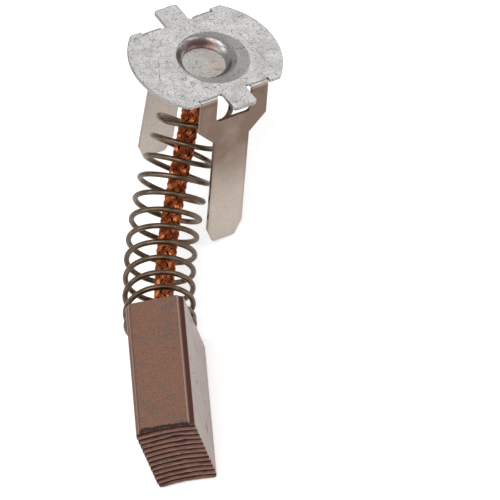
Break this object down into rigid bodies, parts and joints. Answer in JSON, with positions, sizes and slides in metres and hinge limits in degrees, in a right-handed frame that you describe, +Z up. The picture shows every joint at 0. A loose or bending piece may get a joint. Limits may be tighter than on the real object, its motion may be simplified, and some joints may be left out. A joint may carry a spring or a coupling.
{
  "type": "carbon brush",
  "caption": "Carbon brush: copper-graphite block, coil spring, braided copper shunt and a round stamped end cap with two legs, lying bent as it comes to rest.",
  "frame": {"origin": "centre of the block's lower face, on the table", "axes": "+Y from the contact end to the tail along the block, +X across its width, +Z up"},
  "size_m": [0.0237, 0.0531, 0.0245],
  "materials": {
    "copper_graphite": "fine grained, satin",
    "tamped_powder": "matte, granular",
    "copper_braid": "bright copper strands",
    "spring_steel": "dark drawn wire",
    "tinned_sheet": "tinned, lightly scratched"
  },
  "bodies": {
    "cap_side": {"end_cap": "tinned_sheet", "coil_spring": "spring_steel", "braided_shunt": "copper_braid"},
    "block_side": {"carbon_block": "copper_graphite", "tamping_plug": "tamped_powder"}
  },
  "joints": [
    {"name": "block_travel", "type": "slide", "parent": "cap_side", "child": "block_side", "axis": [0, 1, 0], "range_m": [0, 0.009], "stiffness_N_per_m": 340, "deforming": ["coil_spring", "braided_shunt"]}
  ]
}
